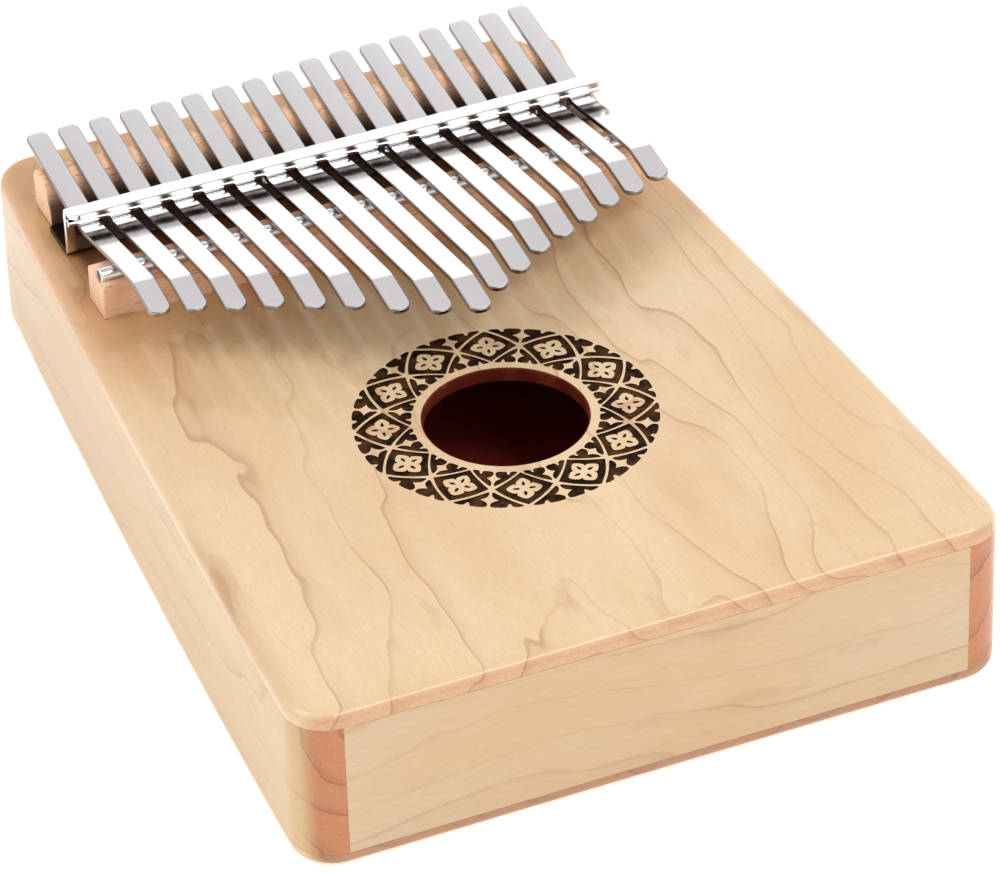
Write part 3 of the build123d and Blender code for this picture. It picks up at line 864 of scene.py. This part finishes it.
def tine(number):
    """One whole tine, which follows its tail behind the bridge rod and its tongue before it."""
    label = f"{number:02d}"
    tail_low, tail_high = box_of(f"tine_{label}_tail")
    tongue_low, _ = box_of(f"tine_{label}_tongue")
    line = tine_line(tongue_low.y + TIP_FALL * TINE_THICKNESS, tail_high.y)
    half = (tail_high.x - tail_low.x) / 2
    centre = (tail_high.x + tail_low.x) / 2
    marks = [mark for mark in line.marks(BEND_STEPS, TINE_ROW_STEP)
             if TINE_END_CLEAR < mark < line.length - TINE_END_CLEAR]
    outline = strip_outline(half, line.length, marks, TINE_END_ROUND, TINE_END_ROUND, 7)

    def place(x, along, depth):
        point = line.at(along, TINE_THICKNESS - depth)
        return centre + x, point.x, point.y

    levels = rim(TINE_THICKNESS, TINE_EDGE, TINE_EDGE)
    solid = cut_sheet([outline], [levels], place, rows=level_rows(outline))
    nodes = (f"tine_{label}_tail", f"tine_{label}_tongue")
    # sides and undersides take the painted shade
    finishes = {None: TINE_STEEL, OUTSIDE: TINE_SIDE_PAINTED_SHADE, LOWER: TINE_SIDE_PAINTED_SHADE}
    piece = make_piece(f"spring_tine_{label}", solid, None, finishes, nodes)
    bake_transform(piece)


def bracket():
    """The slotted bracket, cut flat and folded: base flange, upright wall, lip over the tines."""
    low, high = BRACKET_LOW, BRACKET_HIGH
    half = (high.x - low.x) / 2
    centre = (high.x + low.x) / 2
    corners = ((high.y, low.z), (WALL_FRONT, low.z), (WALL_FRONT, LIP_UNDER), (low.y, LIP_UNDER))
    line = BentLine(corners, (BEND_INSIDE + SHEET, BEND_INSIDE))
    marks = line.marks(BEND_STEPS, SHEET_ROW_STEP)[1:-1]
    base_run, base_bend = line.spans[0][0], line.spans[1][0]
    wall_start = low.z + BEND_INSIDE + SHEET

    def flat(z):
        """Distance along the flat sheet of a height on the wall."""
        return base_run + base_bend + z - wall_start

    outline = strip_outline(half, line.length, marks, BASE_CORNER, LIP_CORNER, 6)
    loops = [outline]
    arch_top = min(DIP_TOP + SLOT_HEADROOM,
                   LIP_UNDER - BEND_INSIDE - SHEET_EDGE - SLOT_BELOW_BEND)
    for number in TINE_NUMBERS:
        tine_low, tine_high = box_of(f"tine_{number:02d}_tail")
        x = (tine_low.x + tine_high.x) / 2 - centre
        half_slot = (tine_high.x - tine_low.x) / 2 + SLOT_CLEARANCE
        floor = flat(low.z + SLOT_FLOOR)
        spring = flat(arch_top - half_slot)
        arch = [Vector((x + half_slot * math.cos(a), spring + half_slot * math.sin(a)))
                for a in (math.pi * step / 14 for step in range(15))]
        loop = [Vector((x - half_slot, floor)), Vector((x + half_slot, floor)), *arch]
        loops.append(loop[::-1])

    def place(x, along, depth):
        point = line.at(along, -depth)
        return centre + x, point.x, point.y

    rims = [rim(SHEET, SHEET_EDGE, SHEET_EDGE, 2, 2)] * len(loops)
    solid = cut_sheet(loops, rims, place, rows=level_rows(outline))
    make_piece("folded_tine_bracket", solid, "sound_box", {None: BRACKET_PLATE},
               ["tine_bracket"])


def wear_finish(node, material):
    """Gives a CAD node that is shown as it is its own finish."""
    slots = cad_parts[node].data.materials
    slots.clear()
    slots.append(material)


# ----------------------------------------------------------------- studio
CAMERA_TURN, CAMERA_RISE, CAMERA_ROLL = map(math.radians, (22.4, 35.65, -1.91))
CAMERA_AIM = Vector((3.5, -15.2, 20.0)) * MM
CAMERA_DISTANCE = 1.1092
CAMERA_LENS = 215.66
CAMERA_CLIP = (0.05, 20)
# brightness of the wall behind, by the sine of the height of a direction
WALL_BEHIND = ((0.0, (1.12,) * 3), (0.62, (1.12,) * 3), (0.72, (0.63, 0.61, 0.62)),
               (0.752, (0.63, 0.61, 0.62)), (0.80, (0.76, 0.74, 0.74)), (1.0, (0.62,) * 3))
ROOM_IN_FRONT = (0.48, 0.48, 0.49)
WALL_STARTS, WALL_FULL = -0.25, 0.45    # share of +Y in a direction
ROOM_STRENGTH = 1.02
FLOOR_HALF = 6.0
FLOOR_BELOW = 0.0002


def camera():
    ahead = Vector((math.sin(CAMERA_TURN) * math.cos(CAMERA_RISE),
                    math.cos(CAMERA_TURN) * math.cos(CAMERA_RISE), -math.sin(CAMERA_RISE)))
    level = Vector((math.cos(CAMERA_TURN), -math.sin(CAMERA_TURN), 0))
    upright = level.cross(ahead)
    right = math.cos(CAMERA_ROLL) * level + math.sin(CAMERA_ROLL) * upright
    up = math.cos(CAMERA_ROLL) * upright - math.sin(CAMERA_ROLL) * level
    lens = bpy.data.cameras.new("studio_camera")
    lens.lens = CAMERA_LENS
    lens.clip_start, lens.clip_end = CAMERA_CLIP
    body = bpy.data.objects.new("studio_camera", lens)
    turned_to = Matrix((right, up, -ahead)).transposed().to_4x4()
    body.matrix_world = Matrix.Translation(CAMERA_AIM - CAMERA_DISTANCE * ahead) @ turned_to
    bpy.context.scene.collection.objects.link(body)
    bpy.context.scene.camera = body


def soft_light(name, place, size, watts, colour=(1.0, 1.0, 1.0)):
    """A soft box, (width, height) in size, that faces the middle of the object."""
    lamp = bpy.data.lights.new(name, "AREA")
    lamp.shape = "RECTANGLE"
    lamp.energy, lamp.color = watts, colour
    lamp.size, lamp.size_y = size
    body = bpy.data.objects.new(name, lamp)
    body.location = place
    body.rotation_euler = (-Vector(place)).to_track_quat("-Z", "Y").to_euler()
    bpy.context.scene.collection.objects.link(body)


def surroundings():
    """A room with a white wall behind the object, greyer overhead and darker in front."""
    world = bpy.data.worlds.new("studio_room")
    world.use_nodes = True
    room = Network(world.node_tree, "BACKGROUND", {"Strength": ROOM_STRENGTH})
    direction = room.node("ShaderNodeTexCoord", {}, {}, "Generated")
    wall = room.node("ShaderNodeValToRGB", {"stops": WALL_BEHIND}, {0: room.axis(direction, "Z")})
    behind = room.step(room.axis(direction, "Y"), WALL_STARTS, WALL_FULL)
    room.feed("Color", room.mix(behind, ROOM_IN_FRONT, wall))
    bpy.context.scene.world = world


def floor():
    mesh = bpy.data.meshes.new("studio_floor")
    corners = [(x * FLOOR_HALF, y * FLOOR_HALF, 0) for x, y in ((-1, -1), (1, -1), (1, 1), (-1, 1))]
    mesh.from_pydata(corners, [], [(0, 1, 2, 3)])
    finish = Finish("pale_floor", {"Base Color": (0.93, 0.93, 0.925, 1.0), "Roughness": 0.7,
                                   "Specular IOR Level": 0.2, "Emission Strength": 0.42,
                                   "Emission Color": (1.0, 1.0, 1.0, 1.0)})
    mesh.materials.append(finish.material)
    body = bpy.data.objects.new("studio_floor", mesh)
    body.location.z = -FLOOR_BELOW
    bpy.context.scene.collection.objects.link(body)


# ------------------------------------------------------------------- build
soundboard()
back_board()
side_board(-1, "side_left")
side_board(1, "side_right")
end_panel("front_panel")
end_panel("rear_panel")
rear_bar()
front_bridge()
round_rod("bridge_rod", 0.25)
round_rod("pressure_rod", 0.2)
bracket()
for number in TINE_NUMBERS:
    tine(number)
wear_finish("pin_block", BLOCK_WOOD)
wear_finish("bracket_screws", SCREW_STEEL)

camera()
surroundings()
floor()
soft_light("key_left", (-1.1, 0.15, 1.35), (0.8, 0.8), 8, (1.0, 0.985, 0.96))
soft_light("fill_front", (0.4, -1.5, 0.8), (0.9, 0.9), 5)
soft_light("edge_strip", (0.38, -0.62, 1.05), (0.9, 0.26), 6.5)
bpy.context.scene.view_settings.view_transform = "Standard"
